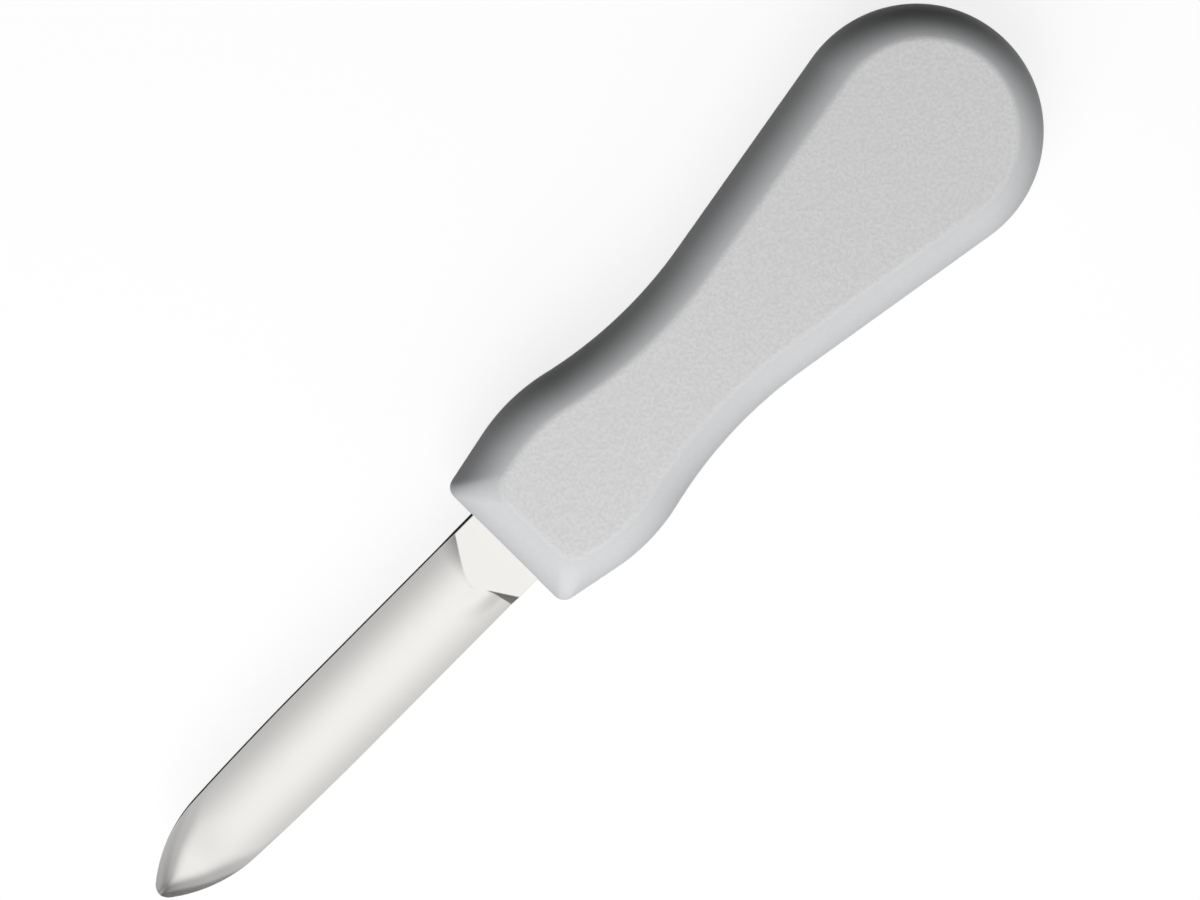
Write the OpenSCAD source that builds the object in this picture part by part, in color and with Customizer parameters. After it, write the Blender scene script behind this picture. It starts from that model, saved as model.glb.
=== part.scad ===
// Oyster knife, millimetres.
// A ground steel blade whose tang is locked in a moulded plastic handle.
// The knife lies flat with its tip along +X and its flat faces up and down.

/* [Blade] */
// Length of blade that stands out of the handle
blade_length = 69.85; // [60:0.05:80]
// Width where the blade is widest
blade_width = 13; // [11:0.1:15]
// Thickness of the steel plate
blade_thickness = 3.4; // [2.8:0.1:4]
// Thickness that the grind leaves along the two sides
side_thickness = 2.2; // [1.4:0.1:2.4]
// Depth of the grind along the middle of each face
grind_depth = 0.03; // [0.02:0.01:0.1]
// Distance from the handle to where the sides begin to narrow
belly_distance = 34; // [20:0.5:36]
// Radius of the long curve that narrows the sides
side_radius = 500; // [400:5:700]
// Radius of the two curves that form the tip
tip_radius = 21.5; // [19:0.5:25]
// Radius of the blunt nose
nose_radius = 1.9; // [1:0.1:2.6]

/* [Grind] */
// Flat length beside the handle, measured along the sides
ricasso_length = 3.6; // [2:0.1:10]
// Radius of the wheel that ends the grind
wheel_radius = 16; // [8:0.5:22]
// Thickness of the edge round the tip
tip_edge_thickness = 0.5; // [0.4:0.1:1]
// Slope of the tip grind at that edge, degrees
tip_grind_angle = 35; // [28:1:42]
// Amount that the tip grind sweeps wider than the tip
tip_grind_spread = 8; // [5:0.5:12]

/* [Tang] */
// Length of steel held inside the handle
tang_length = 63.5; // [50:0.5:80]
// Width of the tang
tang_width = 9; // [7:0.5:10]
// Length of full-width blade sunk in the handle
seat_depth = 3; // [2:0.5:8]
// Diameter of the holes that lock the tang
tang_hole = 4.8; // [3:0.1:5.5]
// Distance from the handle's front to the first hole
first_hole = 16; // [12:0.5:22]
// Distance between holes
hole_pitch = 17; // [10:0.5:20]
// Number of holes
hole_count = 3; // [1:1:3]
// Gap between the moulding and the steel
mould_gap = 0.02; // [0.01:0.01:0.05]

/* [Handle outline] */
// Length of the handle
handle_length = 101.6; // [95:0.1:110]
// Width of the front end
front_width = 23.3; // [20:0.1:25]
// Radius of the front corners in plan
front_corner = 1.8; // [1:0.1:3]
// Distance from the front to the widest point of the shoulder
shoulder_distance = 14.9; // [12:0.1:18]
// Width over the shoulder
shoulder_width = 28.2; // [27:0.1:31]
// Radius of the shoulder in plan
shoulder_radius = 29; // [20:0.5:34]
// Distance from the front to the waist
waist_distance = 36.7; // [33:0.1:42]
// Width at the waist
waist_width = 23.1; // [20:0.1:25]
// Width over the round butt
butt_width = 36.5; // [32:0.1:40]

/* [Handle section] */
// Thickness over the two grip panels
handle_thickness = 18; // [15:0.5:24]
// Distance from the outline to the border of a grip panel
panel_inset = 5.3; // [4.5:0.1:6.5]
// Height of a grip panel above the skin round it
panel_rise = 0.15; // [0.1:0.05:0.4]
// Width of the crease round a grip panel
crease_width = 0.12; // [0.1:0.02:0.3]
// Width of the flat margin outside the crease
margin_width = 0.6; // [0.4:0.1:1.2]
// Slope where the rounded side meets that margin, degrees
margin_angle = 20; // [10:1:28]

/* [Hidden] */
$fn = 128;

steel = [0.80, 0.80, 0.78];
plastic = [0.86, 0.87, 0.88];
overcut = 1;
corner_growth = 0.35;
crown_clear = 0.03;
zone_lap = 0.05;

// Steps in each curve of an outline, and from the middle of the side to the margin
nose_steps = 8;
tip_steps = 28;
side_steps = 10;
corner_steps = 6;
shoulder_steps = 10;
waist_steps = 10;
butt_steps = 46;
section_steps = 10;

function polar(radius, angle) = radius * [cos(angle), sin(angle)];
function heading(v) = atan2(v.y, v.x);
function arc(centre, radius, from, to, steps) =
    [for (i = [0:steps]) centre + polar(radius, from + (to - from) * i / steps)];
function mirrored(points) = [for (i = [len(points) - 1:-1:0]) [points[i].x, -points[i].y]];

// Place where circles round a and b cross, on the right of the way from a to b
function crossing(a, radius_a, b, radius_b) =
    let (
        reach = norm(b - a),
        along = (radius_a ^ 2 - radius_b ^ 2 + reach ^ 2) / (2 * reach),
        across = sqrt(radius_a ^ 2 - along ^ 2),
        way = (b - a) / reach
    )
    a + along * way + across * [way.y, -way.x];

// Blade: every place is measured from the middle of the handle's front end
half_blade = blade_width / 2;
half_plate = blade_thickness / 2;
nose_centre = [blade_length - nose_radius, 0];
side_centre = [belly_distance, half_blade - side_radius];
tip_centre = crossing(nose_centre, tip_radius - nose_radius, side_centre, side_radius - tip_radius);
nose_angle = heading(nose_centre - tip_centre);
side_angle = heading(tip_centre - side_centre);

function blade_half() = concat(
    arc(nose_centre, nose_radius, 0, nose_angle, nose_steps),
    arc(tip_centre, tip_radius, nose_angle + (side_angle - nose_angle) / tip_steps, side_angle, tip_steps - 1),
    arc(side_centre, side_radius, side_angle + (90 - side_angle) / side_steps, 90, side_steps - 1)
);

// Crown: the round section that the grind gives each face
crown_drop = half_plate - grind_depth - side_thickness / 2;
crown_radius = (half_blade ^ 2 + crown_drop ^ 2) / (2 * crown_drop);
crown_centre = half_plate - grind_depth - crown_radius;
wheel_reach = wheel_radius + grind_depth + crown_drop;
grind_start = ricasso_length + sqrt(wheel_reach ^ 2 - wheel_radius ^ 2);
ground_back = grind_start - zone_lap;

// Tip grind: a wider sweep that touches the tip at the nose and runs out behind it
sweep_radius = tip_radius + tip_grind_spread;
sweep_centre = nose_centre - polar(sweep_radius - nose_radius, nose_angle);
sweep_height = half_plate + crown_clear;
sweep_round = (sweep_height - tip_edge_thickness / 2) / (1 - cos(tip_grind_angle));
sweep_shoulder = sweep_radius - sweep_round * sin(tip_grind_angle);

module ground_plan() {
    half = blade_half();
    points = concat(half, [[ground_back, half_blade]]);
    polygon(concat(points, mirrored(points)));
}

module crown_section() {
    intersection_for (side = [-1, 1])
        translate([0, side * crown_centre])
            circle(crown_radius);
}

module tip_grind_section() {
    translate([0, -sweep_height])
        square([sweep_shoulder, 2 * sweep_height]);
    intersection() {
        translate([sweep_shoulder, -sweep_height])
            square([sweep_radius - sweep_shoulder, 2 * sweep_height]);
        intersection_for (side = [-1, 1])
            translate([sweep_shoulder, side * (sweep_height - sweep_round)])
                circle(sweep_round);
    }
}

module tip_grind(side) {
    length_behind = sweep_centre.x - grind_start + overcut;
    translate([grind_start - overcut, -blade_width, -blade_thickness])
        cube([length_behind, 2 * blade_width, 2 * blade_thickness]);
    intersection() {
        translate([sweep_centre.x, side * sweep_centre.y, 0])
            rotate_extrude()
                tip_grind_section();
        translate([sweep_centre.x, -blade_width, -blade_thickness])
            cube([sweep_radius, 2 * blade_width, 2 * blade_thickness]);
    }
}

module ground_blade() {
    intersection() {
        translate([0, 0, -half_plate])
            linear_extrude(blade_thickness)
                ground_plan();
        translate([ground_back, 0, 0])
            rotate([90, 0, 90])
                linear_extrude(blade_length - ground_back)
                    crown_section();
        tip_grind(1);
        tip_grind(-1);
    }
}

// Wheel whose waisted rim leaves the curved end of the grind
module grinding_wheel() {
    rotate([90, 0, 0])
        rotate_extrude()
            difference() {
                translate([0, -half_blade - overcut])
                    square([wheel_reach + overcut, blade_width + 2 * overcut]);
                translate([wheel_radius + grind_depth + crown_radius, 0])
                    circle(crown_radius);
            }
}

// Plan of the plate from the tang's round end to front_end, and of its bed when gap is given
module plate_plan(front_end, gap = 0) {
    difference() {
        union() {
            translate([-seat_depth - gap, -half_blade - gap])
                square([front_end + seat_depth + gap, blade_width + 2 * gap]);
            translate([tang_width / 2 - tang_length, -tang_width / 2 - gap])
                square([tang_length - tang_width / 2, tang_width + 2 * gap]);
            translate([tang_width / 2 - tang_length, 0])
                circle(tang_width / 2 + gap);
        }
        for (i = [0:hole_count - 1])
            translate([-first_hole - i * hole_pitch, 0])
                circle(tang_hole / 2 - gap);
    }
}

module in_frame() {
    translate([(handle_length - blade_length) / 2, 0, handle_thickness / 2])
        children();
}

module blade() {
    color(steel)
        in_frame() {
            ground_blade();
            difference() {
                translate([0, 0, -half_plate])
                    linear_extrude(blade_thickness)
                        plate_plan(grind_start);
                for (side = [-1, 1])
                    translate([grind_start, 0, side * (half_plate + wheel_radius)])
                        grinding_wheel();
            }
        }
}

// Handle outline: u runs from the front end back to the butt, v across
shoulder_centre = [shoulder_distance, shoulder_width / 2 - shoulder_radius];
waist_step = [waist_distance - shoulder_distance, (shoulder_width - waist_width) / 2];
waist_radius = (waist_step.x ^ 2 + waist_step.y ^ 2) / (2 * waist_step.y) - shoulder_radius;
waist_centre = [waist_distance, waist_width / 2 + waist_radius];
butt_centre = [handle_length - butt_width / 2, 0];
front_edge = [0, front_width / 2] - shoulder_centre;
front_angle = heading(front_edge) - acos(shoulder_radius / norm(front_edge));
neck_angle = heading(waist_centre - shoulder_centre);
flank = waist_centre - butt_centre;
flank_angle = heading(flank) - acos((waist_radius + butt_width / 2) / norm(flank));

// Half of the outline, moved inwards by inset, from the front corner to the butt's end.
// The front corner grows softer on the way in, so that no mitre shows.
function handle_half(inset) =
    let (
        corner = front_corner + corner_growth * inset,
        depth = inset + corner,
        reach = shoulder_centre * polar(1, front_angle) + shoulder_radius - depth,
        corner_centre = [depth, (reach - depth * cos(front_angle)) / sin(front_angle)],
        neck_step = (flank_angle - neck_angle) / waist_steps
    )
    concat(
        arc(corner_centre, corner, 180, front_angle, corner_steps),
        arc(shoulder_centre, shoulder_radius - inset, front_angle, neck_angle, shoulder_steps),
        arc(waist_centre, -waist_radius - inset, neck_angle + neck_step, flank_angle, waist_steps - 1),
        arc(butt_centre, butt_width / 2 - inset, flank_angle, 0, butt_steps / 2)
    );

// The butt's end lies on the middle line, so the mirrored half leaves it out
function handle_outline(inset) =
    let (
        half = handle_half(inset),
        other = mirrored(half)
    )
    concat(half, [for (i = [1:len(other) - 1]) other[i]]);

// Section of the side: part of an ellipse that stands upright at mid height
skin_height = handle_thickness / 2 - panel_rise;
round_run = panel_inset - margin_width;
round_fall = round_run * tan(margin_angle);
round_angle = acos(round_fall / (skin_height - round_fall));
round_width = round_run / (1 - cos(round_angle));
round_height = skin_height / sin(round_angle);

function ring(inset, height) = [for (p = handle_outline(inset)) [-p.x, p.y, height]];
function side_ring(angle) = ring(round_width * (1 - cos(angle)), round_height * sin(angle));

// Closed skin through a stack of rings that have the same number of points
module skin(rings) {
    count = len(rings[0]);
    last = len(rings) - 1;
    sides = [
        for (level = [0:last - 1], i = [0:count - 1])
            let (
                next = (i + 1) % count,
                low = level * count,
                high = low + count
            )
            each [[low + i, high + i, high + next], [low + i, high + next, low + next]]
    ];
    floor_face = [for (i = [0:count - 1]) i];
    roof_face = [for (i = [count - 1:-1:0]) last * count + i];
    polyhedron([for (r = rings) each r], concat(sides, [floor_face, roof_face]));
}

// Rings from the widest line up to the upper grip panel, and the same turned over
module handle_body() {
    sides = [for (i = [-section_steps:section_steps]) side_ring(round_angle * i / section_steps)];
    border = panel_inset + crease_width;
    below = [ring(border, -handle_thickness / 2), ring(border, -skin_height), ring(panel_inset, -skin_height)];
    above = [ring(panel_inset, skin_height), ring(border, skin_height), ring(border, handle_thickness / 2)];
    skin(concat(below, sides, above));
}

module handle() {
    color(plastic)
        in_frame()
            difference() {
                handle_body();
                translate([0, 0, -half_plate - mould_gap])
                    linear_extrude(blade_thickness + 2 * mould_gap)
                        plate_plan(overcut, mould_gap);
            }
}

blade();
handle();
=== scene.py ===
"""Oyster knife: finished blade and handle, materials, soft studio light and the photograph's camera."""

import math

import bmesh
import bpy
import numpy as np
from mathutils import Matrix, Vector


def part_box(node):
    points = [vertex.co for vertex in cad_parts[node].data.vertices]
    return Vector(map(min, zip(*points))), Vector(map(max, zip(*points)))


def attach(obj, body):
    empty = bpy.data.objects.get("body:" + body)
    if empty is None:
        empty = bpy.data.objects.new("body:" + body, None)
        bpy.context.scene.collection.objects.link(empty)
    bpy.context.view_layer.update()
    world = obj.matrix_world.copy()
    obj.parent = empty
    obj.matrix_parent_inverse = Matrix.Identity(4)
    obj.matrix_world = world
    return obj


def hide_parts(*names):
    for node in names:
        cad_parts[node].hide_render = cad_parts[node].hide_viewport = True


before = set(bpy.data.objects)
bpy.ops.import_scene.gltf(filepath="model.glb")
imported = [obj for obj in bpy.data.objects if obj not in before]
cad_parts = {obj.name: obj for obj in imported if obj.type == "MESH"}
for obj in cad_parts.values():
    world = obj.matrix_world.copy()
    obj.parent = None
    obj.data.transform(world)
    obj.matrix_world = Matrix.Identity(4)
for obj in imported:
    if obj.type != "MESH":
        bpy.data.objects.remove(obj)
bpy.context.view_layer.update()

MM = 0.001
MERGE_DISTANCE = 0.0002

# The frame gives the overall sizes, here in millimetres
blade_low, blade_high = (np.array(corner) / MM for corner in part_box("blade"))
handle_low, handle_high = (np.array(corner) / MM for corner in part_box("handle"))
FRONT = handle_high[0]
MIDDLE = (handle_low[2] + handle_high[2]) / 2
HALF_PLATE = (blade_high[2] - blade_low[2]) / 2
HALF_BLADE = (blade_high[1] - blade_low[1]) / 2
BLADE_LENGTH = blade_high[0] - FRONT
HANDLE_LENGTH = FRONT - handle_low[0]
HALF_BUTT = (handle_high[1] - handle_low[1]) / 2
HALF_HANDLE = (handle_high[2] - handle_low[2]) / 2


def polar(radius, angle):
    """Point at that radius and angle, in degrees, from the origin."""
    return radius * np.array([math.cos(math.radians(angle)), math.sin(math.radians(angle))])


def heading(v):
    """Angle of a plane vector, in degrees."""
    return math.degrees(math.atan2(v[1], v[0]))


def arc(centre, radius, start, end, steps):
    """Points along an arc, both ends included."""
    return [np.array(centre) + polar(radius, a) for a in np.linspace(start, end, steps + 1)]


def crossing(a, radius_a, b, radius_b):
    """Place where circles round a and b cross, on the right of the way from a to b."""
    a, b = np.array(a, float), np.array(b, float)
    reach = np.linalg.norm(b - a)
    along = (radius_a**2 - radius_b**2 + reach**2) / (2 * reach)
    across = math.sqrt(radius_a**2 - along**2)
    way = (b - a) / reach
    return a + along * way + across * np.array([way[1], -way[0]])


def direction(turn, tilt):
    """Unit vector turned from +X and tilted from the vertical, both in degrees."""
    turn, tilt = math.radians(turn), math.radians(tilt)
    return Vector((math.sin(tilt) * math.cos(turn), math.sin(tilt) * math.sin(turn), math.cos(tilt)))


def new_object(name, vertices, faces, material_of_face=None):
    """Mesh object from points in millimetres, measured from the front of the handle at half its height."""
    mesh = bpy.data.meshes.new(name)
    mesh.from_pydata([tuple((p + [FRONT, 0, MIDDLE]) * MM) for p in vertices], [], faces)
    if material_of_face is not None:
        mesh.polygons.foreach_set("material_index", material_of_face)
    bm = bmesh.new()
    bm.from_mesh(mesh)
    bmesh.ops.remove_doubles(bm, verts=bm.verts, dist=MERGE_DISTANCE * MM)
    bmesh.ops.dissolve_degenerate(bm, edges=bm.edges, dist=MERGE_DISTANCE * MM)
    bmesh.ops.recalc_face_normals(bm, faces=bm.faces)
    bm.to_mesh(mesh)
    bm.free()
    mesh.shade_smooth()
    piece = bpy.data.objects.new(name, mesh)
    bpy.context.scene.collection.objects.link(piece)
    return piece


# Camera: looks down on the flat side, rolled so that the -Y side shows, with the tip at the lower left.
# Its distance, its aim and the width seen at the knife are in metres, the sensor's width in millimetres.
PHOTO_TURN = math.radians(45.2)
PHOTO_ROLL = math.radians(6.8)
CAMERA_DISTANCE = 0.673
SENSOR_WIDTH = 36.0
FRAME_WIDTH = 0.17125
AIM_X = -0.0035


def make_camera():
    """Long lens at the photograph's angle, as the scene's camera."""
    data = bpy.data.cameras.new("camera")
    data.sensor_width = SENSOR_WIDTH
    data.lens = SENSOR_WIDTH * CAMERA_DISTANCE / FRAME_WIDTH
    data.clip_start = 0.01
    data.clip_end = 20
    camera = bpy.data.objects.new("camera", data)
    bpy.context.scene.collection.objects.link(camera)
    back = Vector((0, -math.sin(PHOTO_ROLL), math.cos(PHOTO_ROLL)))
    tipward = Vector((1, 0, 0))
    across = back.cross(tipward)
    right = -math.cos(PHOTO_TURN) * tipward + math.sin(PHOTO_TURN) * across
    up = -math.sin(PHOTO_TURN) * tipward - math.cos(PHOTO_TURN) * across
    matrix = Matrix((right, up, back)).transposed().to_4x4()
    matrix.translation = Vector((AIM_X, 0, MIDDLE * MM)) + back * CAMERA_DISTANCE
    camera.matrix_world = matrix
    bpy.context.scene.camera = camera


# Blade, in millimetres and degrees, with x from the front of the handle to the tip
SIDE_THICKNESS = 2.2
GRIND_DEPTH = 0.03
BELLY_DISTANCE = 34.0
SIDE_RADIUS = 500.0
TIP_RADIUS = 21.5
NOSE_RADIUS = 1.9
RICASSO_LENGTH = 3.6
RICASSO_EDGE = 0.012
WHEEL_RADIUS = 16.0
SEAT_DEPTH = 3.0
BROKEN_EDGE = 0.06

# Short slanted facet that ends the grind on the +Y side, in place of the wheel's round
FACET_STEEPNESS = 0.45
FACET_HOLLOW = 0.044
FACET_RUN = 4.0
FACET_SLANT = 0.64
FACET_TOP = 1.75
FACET_EASE = 3.2
FACET_FADE = 6.0
FACET_BLEND = 2.0

# Grinds that sweep round both sides of the tip
TIP_EDGE_THICKNESS = 0.7
TIP_GRIND_ANGLE = 36.0
TIP_SHOULDER_ROUND = 5.4
TIP_GRIND_SPREAD = 6.0
TIP_REACH = 7.0
SWEEP_LIFT = 0.4
SWEEP_EASE = 9.0
CROWN_CLEAR = 0.05
RIDGE_SOFTNESS = 0.5

# Spacing of the mesh
RICASSO_STATIONS = 20
FINE_STEP = 0.06
BODY_STEP = 0.35
TIP_STEP = 0.11
TIP_STRETCH = 16.0
STRETCH_GAP = 0.1
NOSE_STATIONS = 14
FACE_COLUMNS = 106
FACE_SHARE = 0.955
EDGE_COLUMNS = np.array([0, 0.006, 0.015, 0.03, 0.05, 0.08, 0.11, 0.15, 0.2])

NOSE_CENTRE = np.array([BLADE_LENGTH - NOSE_RADIUS, 0])
SIDE_CENTRE = np.array([BELLY_DISTANCE, HALF_BLADE - SIDE_RADIUS])
TIP_CENTRE = crossing(NOSE_CENTRE, TIP_RADIUS - NOSE_RADIUS, SIDE_CENTRE, SIDE_RADIUS - TIP_RADIUS)
NOSE_ANGLE = heading(NOSE_CENTRE - TIP_CENTRE)
SIDE_ANGLE = heading(TIP_CENTRE - SIDE_CENTRE)

CROWN_DROP = HALF_PLATE - GRIND_DEPTH - SIDE_THICKNESS / 2
CROWN_RADIUS = (HALF_BLADE**2 + CROWN_DROP**2) / (2 * CROWN_DROP)
CROWN_CENTRE = HALF_PLATE - GRIND_DEPTH - CROWN_RADIUS

# In front of this place the wheel is at its full depth; behind it, it climbs out of the steel
GRIND_START = RICASSO_LENGTH + math.sqrt((WHEEL_RADIUS + GRIND_DEPTH + CROWN_DROP) ** 2 - WHEEL_RADIUS**2)

SWEEP_RADIUS = TIP_RADIUS + TIP_GRIND_SPREAD
SWEEP_CENTRE = NOSE_CENTRE - polar(SWEEP_RADIUS - NOSE_RADIUS, NOSE_ANGLE)
SWEEP_HEIGHT = HALF_PLATE + CROWN_CLEAR
SWEEP_SLOPE = math.tan(math.radians(TIP_GRIND_ANGLE))
ROUND_WIDTH = TIP_SHOULDER_ROUND * math.sin(math.radians(TIP_GRIND_ANGLE))
ROUND_DROP = TIP_SHOULDER_ROUND * (1 - math.cos(math.radians(TIP_GRIND_ANGLE)))
SWEEP_WIDTH = ROUND_WIDTH + (SWEEP_HEIGHT - TIP_EDGE_THICKNESS / 2 - ROUND_DROP) / SWEEP_SLOPE
SWEEP_SHOULDER = SWEEP_RADIUS - SWEEP_WIDTH


def blade_half_width(x):
    """Half width of the blade x millimetres in front of the handle."""
    nose_joint = (NOSE_CENTRE + polar(NOSE_RADIUS, NOSE_ANGLE))[0]
    side_joint = (SIDE_CENTRE + polar(SIDE_RADIUS, SIDE_ANGLE))[0]
    if x > nose_joint:
        return math.sqrt(max(NOSE_RADIUS**2 - (x - NOSE_CENTRE[0]) ** 2, 0))
    if x > side_joint:
        return TIP_CENTRE[1] + math.sqrt(TIP_RADIUS**2 - (x - TIP_CENTRE[0]) ** 2)
    if x > BELLY_DISTANCE:
        return SIDE_CENTRE[1] + math.sqrt(SIDE_RADIUS**2 - (x - SIDE_CENTRE[0]) ** 2)
    return HALF_BLADE


def soft_min(a, b, width):
    """Smaller of a and b, with the corner between them rounded over width."""
    h = np.clip(0.5 + 0.5 * (b - a) / width, 0, 1)
    return b + (a - b) * h - width * h * (1 - h)


def smooth_step(t):
    """Ease from 0 to 1 as t goes from 0 to 1."""
    t = np.clip(t, 0, 1)
    return t * t * (3 - 2 * t)


def wheel_run_out(x, crown):
    """Crown that rises behind GRIND_START along the round of the wheel."""
    behind = np.minimum(x - GRIND_START, 0)
    rim = WHEEL_RADIUS + HALF_PLATE - crown
    drop = np.sqrt(np.maximum(rim**2 - behind**2, WHEEL_RADIUS**2 / 4))
    return HALF_PLATE + WHEEL_RADIUS - drop


def facet_run_out(x, y, crown):
    """Crown that rises behind along the facet, and flush with the ricasso towards the middle."""
    ahead = x - RICASSO_LENGTH - FACET_SLANT * (HALF_BLADE - y)
    flush = (1 - smooth_step(ahead / FACET_FADE)) * (1 - smooth_step((y - FACET_TOP) / FACET_EASE))
    near = np.minimum(ahead, FACET_RUN)
    facet = HALF_PLATE - near * (FACET_STEEPNESS - FACET_HOLLOW * near)
    return np.maximum(facet, crown + (HALF_PLATE - crown) * flush)


def tip_sweep(x, y, side):
    """Round shoulder and then a straight slope down to the edge, on one side of the tip."""
    lift = SWEEP_LIFT * smooth_step((BLADE_LENGTH - TIP_REACH - x) / SWEEP_EASE)
    radius = np.hypot(x - SWEEP_CENTRE[0], y - side * SWEEP_CENTRE[1])
    past = np.maximum(radius - SWEEP_SHOULDER, 0)
    bent = np.minimum(past, ROUND_WIDTH)
    shoulder = SWEEP_HEIGHT + lift - TIP_SHOULDER_ROUND + np.sqrt(TIP_SHOULDER_ROUND**2 - bent**2)
    well_above = SWEEP_HEIGHT + 1
    return np.where(x > SWEEP_CENTRE[0], shoulder - (past - bent) * SWEEP_SLOPE, well_above)


def blade_height(x, y):
    """Height of the blade's upper face above its middle plane."""
    crown = CROWN_CENTRE + np.sqrt(CROWN_RADIUS**2 - y**2)
    ground = wheel_run_out(x, crown)
    ground = ground + (facet_run_out(x, y, crown) - ground) * smooth_step(y / FACET_BLEND)
    height = soft_min(ground, np.full_like(ground, HALF_PLATE), RICASSO_EDGE)
    for side in (-1, 1):
        height = soft_min(height, tip_sweep(x, y, side), RIDGE_SOFTNESS)
    return height


def blade_stations():
    """Places along the blade, close together at the end of the grind and at the tip."""
    fine_start = RICASSO_LENGTH - 0.5
    body_start = GRIND_START + 0.5
    tip_start = BLADE_LENGTH - TIP_STRETCH
    nose_turns = np.linspace(0, math.pi / 2, NOSE_STATIONS)
    return np.concatenate([
        np.linspace(-SEAT_DEPTH, fine_start - STRETCH_GAP, RICASSO_STATIONS),
        np.arange(fine_start, body_start, FINE_STEP),
        np.arange(body_start + STRETCH_GAP, tip_start, BODY_STEP),
        np.arange(tip_start + STRETCH_GAP, NOSE_CENTRE[0] - STRETCH_GAP / 2, TIP_STEP),
        NOSE_CENTRE[0] + NOSE_RADIUS * np.sin(nose_turns),
    ])


def joined_rings(rings):
    """All points of the rings in one list, and four-sided faces between each ring and the next."""
    count = len(rings[0])
    faces = []
    for low in range(0, (len(rings) - 1) * count, count):
        for i in range(count):
            following = (i + 1) % count
            faces.append((low + i, low + following, low + count + following, low + count + i))
    return np.concatenate(rings), faces


def make_blade():
    """One closed skin: a loop of points round each station, over the top, down the side and back below."""
    edge = EDGE_COLUMNS / HALF_BLADE
    face = np.linspace(-FACE_SHARE, FACE_SHARE, FACE_COLUMNS)
    across = np.concatenate([-1 + edge, face, (1 - edge)[::-1]])
    loops = []
    for x in blade_stations():
        half = blade_half_width(x)
        y = across * half
        inside = np.minimum(half - np.abs(y), BROKEN_EDGE)
        broken = BROKEN_EDGE - np.sqrt(BROKEN_EDGE**2 - (BROKEN_EDGE - inside) ** 2)
        top = np.stack([np.full_like(y, x), y, blade_height(np.full_like(y, x), y) - broken], 1)
        bottom = top[::-1] * [1, 1, -1]
        loops.append(np.concatenate([top, bottom]))
    vertices, faces = joined_rings(loops)
    last_column = len(across) - 1
    # The narrow sides, which follow the last column of each face, get the second material
    materials = [int(i % len(across) == last_column) for i in range(len(faces))]
    hidden_end = tuple(range(2 * len(across)))
    return new_object("ground_blade", vertices, faces + [hidden_end], materials + [1])


# Handle in millimetres and degrees, with u from the front end back to the butt
FRONT_WIDTH = 23.3
FRONT_CORNER = 1.8
SHOULDER_DISTANCE = 14.9
SHOULDER_WIDTH = 28.2
SHOULDER_RADIUS = 29.0
WAIST_DISTANCE = 36.7
WAIST_WIDTH = 23.1
PANEL_INSET = 5.5
LAST_RING_INSET = 6.5
BLEND_WIDTH = 1.0
MARGIN_ANGLE = 23.0
CORNER_GROWTH = 0.35

SHOULDER_CENTRE = np.array([SHOULDER_DISTANCE, SHOULDER_WIDTH / 2 - SHOULDER_RADIUS])
WAIST_STEP = (WAIST_DISTANCE - SHOULDER_DISTANCE, (SHOULDER_WIDTH - WAIST_WIDTH) / 2)
WAIST_RADIUS = (WAIST_STEP[0] ** 2 + WAIST_STEP[1] ** 2) / (2 * WAIST_STEP[1]) - SHOULDER_RADIUS
WAIST_CENTRE = np.array([WAIST_DISTANCE, WAIST_WIDTH / 2 + WAIST_RADIUS])
BUTT_CENTRE = np.array([HANDLE_LENGTH - HALF_BUTT, 0])
FRONT_EDGE = np.array([0, FRONT_WIDTH / 2]) - SHOULDER_CENTRE
FRONT_ANGLE = heading(FRONT_EDGE) - math.degrees(math.acos(SHOULDER_RADIUS / np.linalg.norm(FRONT_EDGE)))
NECK_ANGLE = heading(WAIST_CENTRE - SHOULDER_CENTRE)
FLANK = WAIST_CENTRE - BUTT_CENTRE
FLANK_ANGLE = heading(FLANK) - math.degrees(math.acos((WAIST_RADIUS + HALF_BUTT) / np.linalg.norm(FLANK)))


def handle_outline(inset):
    """Closed outline of the handle, moved inwards by inset, with corners that grow softer on the way."""
    corner = FRONT_CORNER + CORNER_GROWTH * inset
    depth = inset + corner
    reach = SHOULDER_CENTRE @ polar(1, FRONT_ANGLE) + SHOULDER_RADIUS - depth
    slope = math.radians(FRONT_ANGLE)
    corner_centre = np.array([depth, (reach - depth * math.cos(slope)) / math.sin(slope)])
    corner_end = corner_centre + polar(corner, FRONT_ANGLE)
    shoulder_start = SHOULDER_CENTRE + polar(SHOULDER_RADIUS - inset, FRONT_ANGLE)
    flank_start = WAIST_CENTRE - polar(WAIST_RADIUS + inset, FLANK_ANGLE)
    flank_end = BUTT_CENTRE + polar(HALF_BUTT - inset, FLANK_ANGLE)
    half = (
        [np.array([inset, y]) for y in np.linspace(0, corner_centre[1], 24)[:-1]]
        + arc(corner_centre, corner, 180, FRONT_ANGLE, 12)
        + list(np.linspace(corner_end, shoulder_start, 14)[1:-1])
        + arc(SHOULDER_CENTRE, SHOULDER_RADIUS - inset, FRONT_ANGLE, NECK_ANGLE, 30)
        + arc(WAIST_CENTRE, -WAIST_RADIUS - inset, NECK_ANGLE, FLANK_ANGLE, 40)[1:]
        + list(np.linspace(flank_start, flank_end, 60)[1:-1])
        + arc(BUTT_CENTRE, HALF_BUTT - inset, FLANK_ANGLE, 0, 70)
    )
    other_half = [p * [1, -1] for p in half[-2:0:-1]]
    return np.array(half + other_half)


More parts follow.
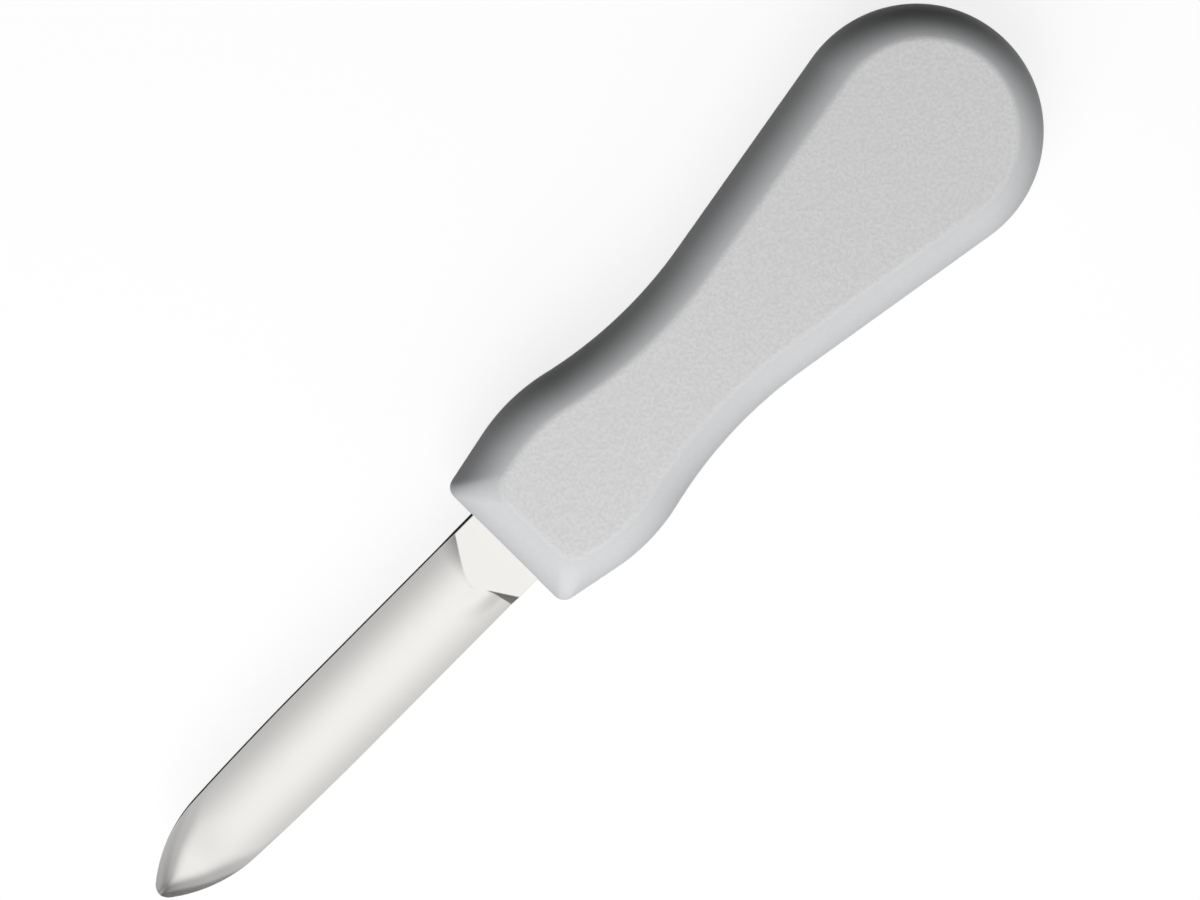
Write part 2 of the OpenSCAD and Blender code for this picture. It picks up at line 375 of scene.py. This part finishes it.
def handle_profile():
    """Inset and height of each ring: a quarter of an ellipse, and a blend that runs out on the panel."""
    slope = math.tan(math.radians(MARGIN_ANGLE))
    blend_start = PANEL_INSET - BLEND_WIDTH
    blend_height = HALF_HANDLE - BLEND_WIDTH * slope / 2
    fall = blend_start * slope
    end = math.acos(fall / (blend_height - fall))
    width = blend_start / (1 - math.cos(end))
    height = blend_height / math.sin(end)
    side = [(width * (1 - math.cos(a)), height * math.sin(a)) for a in np.linspace(0, end, 40)]
    blend = []
    for t in np.linspace(0, 1, 13)[1:]:
        blend.append((blend_start + BLEND_WIDTH * t, blend_height + BLEND_WIDTH * slope * (t - t * t / 2)))
    return side + blend + [(LAST_RING_INSET, HALF_HANDLE)]


def make_handle():
    """Rings round the side, from panel to panel, with a flat face inside the last ring at each end."""
    profile = handle_profile()
    rings = []
    for inset, height in [(inset, -height) for inset, height in profile[:0:-1]] + profile:
        outline = handle_outline(inset)
        rings.append(np.column_stack([-outline[:, 0], outline[:, 1], np.full(len(outline), height)]))
    vertices, faces = joined_rings(rings)
    count = len(rings[0])
    lower_panel = tuple(range(count))
    upper_panel = tuple(range(len(vertices) - count, len(vertices)))
    return new_object("moulded_handle", vertices, faces + [lower_panel, upper_panel])


# Colours and levels
STEEL_COLOUR = (0.80, 0.79, 0.77, 1)
# Near-black colours of the narrow sides, a painted dark reflection, with a random tone between the two
EDGE_PAINTED_REFLECTION_DARK = (0.03, 0.03, 0.03, 1)
EDGE_PAINTED_REFLECTION_LIGHT = (0.045, 0.045, 0.042, 1)
MARGIN_COLOUR = (0.742, 0.75, 0.762, 1)
# The panels' colour is lighter than the margins' as painted light on these upward faces, which also makes
# up for the painted shade in the grain's hollows
PANEL_COLOUR_WITH_PAINTED_LIGHT = (0.87, 0.87, 0.872, 1)
PEBBLE_FADE = 0.22
PEBBLE_HEIGHT = 0.00006
BRUSH_HEIGHT = 0.00001
FLOOR_COLOUR = (0.2, 0.2, 0.2, 1)
FLOOR_GLOW = 0.85
FLOOR_THROWN_BACK = (0.08, 0.08, 0.08, 1)
FLOOR_REACH = 3.0


class Nodes:
    """Short way to add and link nodes."""

    def __init__(self, tree):
        self.tree = tree
        tree.nodes.clear()

    def add(self, kind, **values):
        """New node, with its properties and inputs set."""
        node = self.tree.nodes.new(kind)
        for key, value in values.items():
            if hasattr(node, key):
                setattr(node, key, value)
            else:
                node.inputs[key].default_value = value
        return node

    def link(self, a, b):
        self.tree.links.new(a, b)

    def calculate(self, operation, *values):
        """Result of a sum on numbers and outputs of other nodes."""
        node = self.add("ShaderNodeMath", operation=operation)
        for socket, value in zip(node.inputs, values):
            if isinstance(value, bpy.types.NodeSocket):
                self.link(value, socket)
            else:
                socket.default_value = value
        return node.outputs[0]

    def ranged(self, source, source_range, result_range):
        """Source moved from one range to another, and kept inside it."""
        change = self.add("ShaderNodeMapRange")
        names = ("From Min", "From Max", "To Min", "To Max")
        for name, value in zip(names, source_range + result_range):
            change.inputs[name].default_value = value
        self.link(source, change.inputs["Value"])
        return change.outputs["Result"]

    def noise(self, scale, detail):
        """Noise fixed to the object, with its own scale along each axis."""
        place = self.add("ShaderNodeTexCoord")
        stretch = self.add("ShaderNodeMapping", Scale=scale)
        self.link(place.outputs["Object"], stretch.inputs["Vector"])
        noise = self.add("ShaderNodeTexNoise", Scale=1.0, Detail=detail)
        self.link(stretch.outputs["Vector"], noise.inputs["Vector"])
        return noise.outputs["Fac"]


def new_material(name, settings):
    """Material with one main shader, and its inputs set."""
    material = bpy.data.materials.new(name)
    material.use_nodes = True
    nodes = Nodes(material.node_tree)
    nodes.output = nodes.add("ShaderNodeOutputMaterial")
    shader = nodes.add("ShaderNodeBsdfPrincipled")
    for key, value in settings.items():
        shader.inputs[key].default_value = value
    nodes.link(shader.outputs["BSDF"], nodes.output.inputs["Surface"])
    return material, nodes, shader


def steel_material():
    """Satin steel, with fine brush lines across the blade."""
    material, nodes, shader = new_material("satin_steel", {"Metallic": 1.0, "Base Color": STEEL_COLOUR})
    lines = nodes.noise((6000, 400, 400), 3.0)
    nodes.link(nodes.ranged(lines, (0, 1), (0.27, 0.30)), shader.inputs["Roughness"])
    bump = nodes.add("ShaderNodeBump", Strength=0.01, Distance=BRUSH_HEIGHT)
    nodes.link(lines, bump.inputs["Height"])
    nodes.link(bump.outputs["Normal"], shader.inputs["Normal"])
    return material


def edge_painted_reflection_material():
    """Narrow sides as blanked from the plate: rough, and nearly black as a painted dark reflection, and
    not lighter at a low angle.
    """
    settings = {"Metallic": 1.0, "Roughness": 0.5, "Specular Tint": (0.1, 0.1, 0.1, 1)}
    material, nodes, shader = new_material("blanked_steel_painted_reflection", settings)
    # Painted reflection: the near-black colour stands in for the dark that the sides mirror
    ramp = nodes.add("ShaderNodeValToRGB")
    dark, light = ramp.color_ramp.elements
    dark.position, light.position = 0.35, 0.65
    dark.color, light.color = EDGE_PAINTED_REFLECTION_DARK, EDGE_PAINTED_REFLECTION_LIGHT
    nodes.link(nodes.noise((2500, 2500, 500), 3.0), ramp.inputs["Fac"])
    nodes.link(ramp.outputs["Color"], shader.inputs["Base Color"])
    return material


def plastic_material():
    """Satin on the margins and pebbled on the panels, with the change told by the height, and painted
    shade in the grain's hollows.
    """
    settings = {"Roughness": 0.5, "Specular IOR Level": 0.06}
    material, nodes, shader = new_material("moulded_plastic", settings)
    place = nodes.add("ShaderNodeTexCoord")
    split = nodes.add("ShaderNodeSeparateXYZ")
    nodes.link(place.outputs["Object"], split.inputs["Vector"])
    level = nodes.calculate("SUBTRACT", split.outputs["Z"], MIDDLE * MM)
    height = nodes.calculate("ABSOLUTE", level)
    pebbled = nodes.ranged(height, ((HALF_HANDLE - PEBBLE_FADE) * MM, HALF_HANDLE * MM), (0, 1))

    grain = nodes.noise((1900, 1900, 1900), 2.0)
    hollow = nodes.ranged(grain, (0.35, 0.65), (1, 0))
    # Painted shade: the colour is darker where the grain is low, more on the panels than on the margins
    painted_hollow_shade = nodes.calculate("MULTIPLY", hollow, nodes.ranged(pebbled, (0, 1), (0.025, 0.08)))
    # Margins and panels each get a colour; the panels' lighter one holds painted light
    colour = nodes.add("ShaderNodeMix", data_type="RGBA")
    factor, first, second = colour.inputs[0], colour.inputs[6], colour.inputs[7]
    first.default_value = MARGIN_COLOUR
    second.default_value = PANEL_COLOUR_WITH_PAINTED_LIGHT
    nodes.link(pebbled, factor)
    shaded = nodes.add("ShaderNodeVectorMath", operation="SCALE")
    nodes.link(colour.outputs[2], shaded.inputs[0])
    nodes.link(nodes.calculate("SUBTRACT", 1.0, painted_hollow_shade), shaded.inputs["Scale"])
    nodes.link(shaded.outputs["Vector"], shader.inputs["Base Color"])

    bump = nodes.add("ShaderNodeBump", Distance=PEBBLE_HEIGHT)
    nodes.link(nodes.ranged(pebbled, (0, 1), (0.04, 1)), bump.inputs["Strength"])
    nodes.link(grain, bump.inputs["Height"])
    nodes.link(bump.outputs["Normal"], shader.inputs["Normal"])
    return material


def floor_material():
    """Pale to the camera and in mirrors, with the knife's shadow, and dark in the light it throws back."""
    settings = {"Base Color": FLOOR_COLOUR, "Roughness": 1.0, "Specular IOR Level": 0.0}
    material, nodes, shader = new_material("pale_floor", settings)
    path = nodes.add("ShaderNodeLightPath")
    seen = nodes.calculate("MAXIMUM", path.outputs["Is Camera Ray"], path.outputs["Is Glossy Ray"])
    seen = nodes.calculate("MAXIMUM", seen, path.outputs["Is Transmission Ray"])
    glow = nodes.add("ShaderNodeEmission", Color=(1, 1, 1, 1))
    nodes.link(nodes.calculate("MULTIPLY", seen, FLOOR_GLOW), glow.inputs["Strength"])
    both = nodes.add("ShaderNodeAddShader")
    nodes.link(shader.outputs["BSDF"], both.inputs[0])
    nodes.link(glow.outputs["Emission"], both.inputs[1])
    thrown_back = nodes.add("ShaderNodeBsdfDiffuse", Color=FLOOR_THROWN_BACK)
    pick = nodes.add("ShaderNodeMixShader")
    nodes.link(path.outputs["Is Diffuse Ray"], pick.inputs["Fac"])
    nodes.link(both.outputs["Shader"], pick.inputs[1])
    nodes.link(thrown_back.outputs["BSDF"], pick.inputs[2])
    nodes.link(pick.outputs["Shader"], nodes.output.inputs["Surface"])
    return material


def make_floor():
    """Plain square floor at the height on which the knife lies."""
    corners = [(x * FLOOR_REACH, y * FLOOR_REACH, 0) for x, y in ((-1, -1), (1, -1), (1, 1), (-1, 1))]
    mesh = bpy.data.meshes.new("floor")
    mesh.from_pydata(corners, [], [(0, 1, 2, 3)])
    floor = bpy.data.objects.new("floor", mesh)
    bpy.context.scene.collection.objects.link(floor)
    mesh.materials.append(floor_material())


# Pale fields that only mirror rays see: turn and tilt in degrees, then stops of level by the cosine
# of the angle from there. They were chosen so that the steel's tones run as in the photograph.
OVERHEAD = (75, 9.5, [
    (0.0, 0.01), (0.5, 0.01), (0.80, 0.05), (0.88, 0.15), (0.93, 0.33),
    (0.9511, 0.6), (0.966, 0.9), (0.98, 1.17), (0.9925, 1.37), (1.0, 1.46),
])
CARDS = [
    (100, 50, [
        (0.0, 0.0), (0.69, 0.0), (0.76, 0.28), (0.82, 0.45), (0.866, 0.54), (0.92, 0.66), (1.0, 0.74),
    ]),
    (-88, 44, [(0.0, 0.0), (0.72, 0.0), (0.79, 0.15), (0.85, 0.45), (0.90, 0.58), (1.0, 0.6)]),
    (-66, 78, [(0.0, 0.0), (0.80, 0.0), (0.88, 0.45), (1.0, 0.62)]),
    (-60, 26, [(0.0, 0.0), (0.92, 0.0), (0.96, 0.42), (1.0, 0.74)]),
    (72, 55, [(0.0, 0.0), (0.89, 0.0), (0.922, 0.3), (0.955, 0.5), (0.985, 0.6), (1.0, 0.64)]),
    (0, 66, [(0.0, 0.0), (0.84, 0.0), (0.91, 0.36), (1.0, 0.48)]),
]

# Lamps that light the plastic and that the steel doesn't mirror: turn, tilt and power in watts
LAMPS = {"key": (27, 40, 8.75), "side": (110, 66, 2.0), "low_fill": (-50, 82, 0.35)}
LAMP_DISTANCE = 0.9
LAMP_SIZE = 0.8


def pale_field(nodes, turn, tilt, stops):
    """Brightness round a direction, from stops of cosine from it and level."""
    place = nodes.add("ShaderNodeTexCoord")
    facing = nodes.add("ShaderNodeVectorMath", operation="DOT_PRODUCT")
    facing.inputs[1].default_value = direction(turn, tilt)
    nodes.link(place.outputs["Generated"], facing.inputs[0])
    ramp = nodes.add("ShaderNodeValToRGB")
    elements = ramp.color_ramp.elements
    while len(elements) < len(stops):
        elements.new(0.5)
    for element, (where, level) in zip(elements, stops):
        element.position = where
        element.color = (level, level, level, 1)
    nodes.link(facing.outputs["Value"], ramp.inputs["Fac"])
    return ramp.outputs["Color"]


def make_world():
    """White to the camera, pale fields for the steel to mirror, and no light on the plastic."""
    world = bpy.data.worlds.new("studio")
    world.use_nodes = True
    bpy.context.scene.world = world
    nodes = Nodes(world.node_tree)
    field = pale_field(nodes, *OVERHEAD)
    for card in CARDS:
        brighter = nodes.add("ShaderNodeVectorMath", operation="MAXIMUM")
        nodes.link(field, brighter.inputs[0])
        nodes.link(pale_field(nodes, *card), brighter.inputs[1])
        field = brighter.outputs["Vector"]
    path = nodes.add("ShaderNodeLightPath")
    mirrored = nodes.add("ShaderNodeVectorMath", operation="SCALE")
    nodes.link(field, mirrored.inputs[0])
    nodes.link(path.outputs["Is Glossy Ray"], mirrored.inputs["Scale"])
    seen = nodes.add("ShaderNodeVectorMath", operation="ADD")
    nodes.link(mirrored.outputs["Vector"], seen.inputs[0])
    nodes.link(path.outputs["Is Camera Ray"], seen.inputs[1])
    background = nodes.add("ShaderNodeBackground")
    nodes.link(seen.outputs["Vector"], background.inputs["Color"])
    output = nodes.add("ShaderNodeOutputWorld")
    nodes.link(background.outputs["Background"], output.inputs["Surface"])


def make_lamp(name, turn, tilt, power):
    """Square soft lamp aimed at the knife."""
    data = bpy.data.lights.new(name, "AREA")
    data.size = LAMP_SIZE
    data.energy = power
    lamp = bpy.data.objects.new(name, data)
    bpy.context.scene.collection.objects.link(lamp)
    way = direction(turn, tilt)
    lamp.location = way * LAMP_DISTANCE
    lamp.rotation_euler = way.to_track_quat("Z", "Y").to_euler()
    lamp.visible_glossy = False


make_camera()
bpy.context.scene.view_settings.view_transform = "Standard"
make_world()
make_floor()
for lamp_name, lamp_settings in LAMPS.items():
    make_lamp(lamp_name, *lamp_settings)

blade = make_blade()
blade.data.materials.append(steel_material())
blade.data.materials.append(edge_painted_reflection_material())
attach(blade, "root")
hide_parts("blade")

handle = make_handle()
handle.data.materials.append(plastic_material())
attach(handle, "root")
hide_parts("handle")
